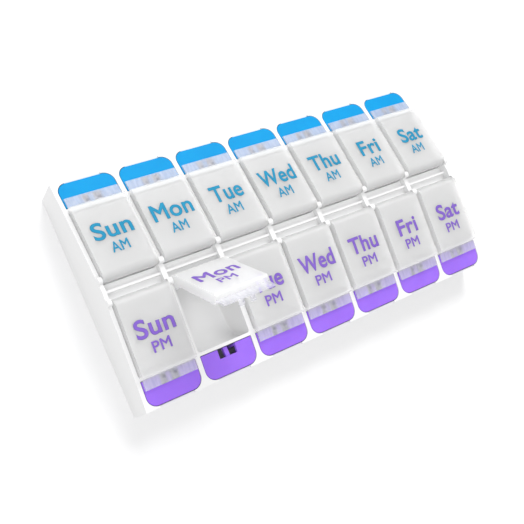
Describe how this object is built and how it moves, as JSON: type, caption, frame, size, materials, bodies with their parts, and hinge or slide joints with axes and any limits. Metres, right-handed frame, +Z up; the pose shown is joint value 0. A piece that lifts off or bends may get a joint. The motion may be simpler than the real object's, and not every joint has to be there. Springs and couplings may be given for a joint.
{
  "type": "pill organizer",
  "caption": "Weekly pill organizer: a tray with a morning row and an evening row of compartments, each with a hinged lid and a push button.",
  "frame": {"origin": "on the underside of the tray, at the middle of its length and width", "axes": "+X along the days from Sunday to Saturday, +Y from the evening row to the morning row, +Z up"},
  "size_m": [0.226, 0.115, 0.0626],
  "materials": {
    "tray_plastic": "white translucent moulding, fine satin outside",
    "lid_plastic": "frosted panel with a clear strip at the free end, printed day name",
    "button_blue": "satin",
    "button_purple": "satin"
  },
  "bodies": {
    "tray": {"tray": "tray_plastic"},
    "am_lid_sun": {"am_lid_sun": "lid_plastic"},
    "am_button_sun": {"am_button_sun": "button_blue"},
    "am_lid_mon": {"am_lid_mon": "lid_plastic"},
    "am_button_mon": {"am_button_mon": "button_blue"},
    "am_lid_tue": {"am_lid_tue": "lid_plastic"},
    "am_button_tue": {"am_button_tue": "button_blue"},
    "am_lid_wed": {"am_lid_wed": "lid_plastic"},
    "am_button_wed": {"am_button_wed": "button_blue"},
    "am_lid_thu": {"am_lid_thu": "lid_plastic"},
    "am_button_thu": {"am_button_thu": "button_blue"},
    "am_lid_fri": {"am_lid_fri": "lid_plastic"},
    "am_button_fri": {"am_button_fri": "button_blue"},
    "am_lid_sat": {"am_lid_sat": "lid_plastic"},
    "am_button_sat": {"am_button_sat": "button_blue"},
    "pm_lid_sun": {"pm_lid_sun": "lid_plastic"},
    "pm_button_sun": {"pm_button_sun": "button_purple"},
    "pm_lid_mon": {"pm_lid_mon": "lid_plastic"},
    "pm_button_mon": {"pm_button_mon": "button_purple"},
    "pm_lid_tue": {"pm_lid_tue": "lid_plastic"},
    "pm_button_tue": {"pm_button_tue": "button_purple"},
    "pm_lid_wed": {"pm_lid_wed": "lid_plastic"},
    "pm_button_wed": {"pm_button_wed": "button_purple"},
    "pm_lid_thu": {"pm_lid_thu": "lid_plastic"},
    "pm_button_thu": {"pm_button_thu": "button_purple"},
    "pm_lid_fri": {"pm_lid_fri": "lid_plastic"},
    "pm_button_fri": {"pm_button_fri": "button_purple"},
    "pm_lid_sat": {"pm_lid_sat": "lid_plastic"},
    "pm_button_sat": {"pm_button_sat": "button_purple"}
  },
  "joints": [
    {"name": "am_lid_sun_hinge", "type": "hinge", "parent": "tray", "child": "am_lid_sun", "pos_m": [-0.09626, 0.0055, 0.026], "axis": [1, 0, 0], "range_deg": [0, 95]},
    {"name": "am_button_sun_press", "type": "slide", "parent": "tray", "child": "am_button_sun", "axis": [0, 0, -1], "range_m": [0, 0.0015], "stiffness_N_per_m": 700},
    {"name": "am_lid_mon_hinge", "type": "hinge", "parent": "tray", "child": "am_lid_mon", "pos_m": [-0.06417, 0.0055, 0.026], "axis": [1, 0, 0], "range_deg": [0, 95]},
    {"name": "am_button_mon_press", "type": "slide", "parent": "tray", "child": "am_button_mon", "axis": [0, 0, -1], "range_m": [0, 0.0015], "stiffness_N_per_m": 700},
    {"name": "am_lid_tue_hinge", "type": "hinge", "parent": "tray", "child": "am_lid_tue", "pos_m": [-0.03209, 0.0055, 0.026], "axis": [1, 0, 0], "range_deg": [0, 95]},
    {"name": "am_button_tue_press", "type": "slide", "parent": "tray", "child": "am_button_tue", "axis": [0, 0, -1], "range_m": [0, 0.0015], "stiffness_N_per_m": 700},
    {"name": "am_lid_wed_hinge", "type": "hinge", "parent": "tray", "child": "am_lid_wed", "pos_m": [0, 0.0055, 0.026], "axis": [1, 0, 0], "range_deg": [0, 95]},
    {"name": "am_button_wed_press", "type": "slide", "parent": "tray", "child": "am_button_wed", "axis": [0, 0, -1], "range_m": [0, 0.0015], "stiffness_N_per_m": 700},
    {"name": "am_lid_thu_hinge", "type": "hinge", "parent": "tray", "child": "am_lid_thu", "pos_m": [0.03209, 0.0055, 0.026], "axis": [1, 0, 0], "range_deg": [0, 95]},
    {"name": "am_button_thu_press", "type": "slide", "parent": "tray", "child": "am_button_thu", "axis": [0, 0, -1], "range_m": [0, 0.0015], "stiffness_N_per_m": 700},
    {"name": "am_lid_fri_hinge", "type": "hinge", "parent": "tray", "child": "am_lid_fri", "pos_m": [0.06417, 0.0055, 0.026], "axis": [1, 0, 0], "range_deg": [0, 95]},
    {"name": "am_button_fri_press", "type": "slide", "parent": "tray", "child": "am_button_fri", "axis": [0, 0, -1], "range_m": [0, 0.0015], "stiffness_N_per_m": 700},
    {"name": "am_lid_sat_hinge", "type": "hinge", "parent": "tray", "child": "am_lid_sat", "pos_m": [0.09626, 0.0055, 0.026], "axis": [1, 0, 0], "range_deg": [0, 95]},
    {"name": "am_button_sat_press", "type": "slide", "parent": "tray", "child": "am_button_sat", "axis": [0, 0, -1], "range_m": [0, 0.0015], "stiffness_N_per_m": 700},
    {"name": "pm_lid_sun_hinge", "type": "hinge", "parent": "tray", "child": "pm_lid_sun", "pos_m": [-0.09626, -0.0055, 0.026], "axis": [-1, 0, 0], "range_deg": [0, 95]},
    {"name": "pm_button_sun_press", "type": "slide", "parent": "tray", "child": "pm_button_sun", "axis": [0, 0, -1], "range_m": [0, 0.0015], "stiffness_N_per_m": 700},
    {"name": "pm_lid_mon_hinge", "type": "hinge", "parent": "tray", "child": "pm_lid_mon", "pos_m": [-0.06417, -0.0055, 0.026], "axis": [-1, 0, 0], "range_deg": [-65, 30]},
    {"name": "pm_button_mon_press", "type": "slide", "parent": "tray", "child": "pm_button_mon", "axis": [0, 0, -1], "range_m": [0, 0.0015], "stiffness_N_per_m": 700},
    {"name": "pm_lid_tue_hinge", "type": "hinge", "parent": "tray", "child": "pm_lid_tue", "pos_m": [-0.03209, -0.0055, 0.026], "axis": [-1, 0, 0], "range_deg": [0, 95]},
    {"name": "pm_button_tue_press", "type": "slide", "parent": "tray", "child": "pm_button_tue", "axis": [0, 0, -1], "range_m": [0, 0.0015], "stiffness_N_per_m": 700},
    {"name": "pm_lid_wed_hinge", "type": "hinge", "parent": "tray", "child": "pm_lid_wed", "pos_m": [0, -0.0055, 0.026], "axis": [-1, 0, 0], "range_deg": [0, 95]},
    {"name": "pm_button_wed_press", "type": "slide", "parent": "tray", "child": "pm_button_wed", "axis": [0, 0, -1], "range_m": [0, 0.0015], "stiffness_N_per_m": 700},
    {"name": "pm_lid_thu_hinge", "type": "hinge", "parent": "tray", "child": "pm_lid_thu", "pos_m": [0.03209, -0.0055, 0.026], "axis": [-1, 0, 0], "range_deg": [0, 95]},
    {"name": "pm_button_thu_press", "type": "slide", "parent": "tray", "child": "pm_button_thu", "axis": [0, 0, -1], "range_m": [0, 0.0015], "stiffness_N_per_m": 700},
    {"name": "pm_lid_fri_hinge", "type": "hinge", "parent": "tray", "child": "pm_lid_fri", "pos_m": [0.06417, -0.0055, 0.026], "axis": [-1, 0, 0], "range_deg": [0, 95]},
    {"name": "pm_button_fri_press", "type": "slide", "parent": "tray", "child": "pm_button_fri", "axis": [0, 0, -1], "range_m": [0, 0.0015], "stiffness_N_per_m": 700},
    {"name": "pm_lid_sat_hinge", "type": "hinge", "parent": "tray", "child": "pm_lid_sat", "pos_m": [0.09626, -0.0055, 0.026], "axis": [-1, 0, 0], "range_deg": [0, 95]},
    {"name": "pm_button_sat_press", "type": "slide", "parent": "tray", "child": "pm_button_sat", "axis": [0, 0, -1], "range_m": [0, 0.0015], "stiffness_N_per_m": 700}
  ]
}
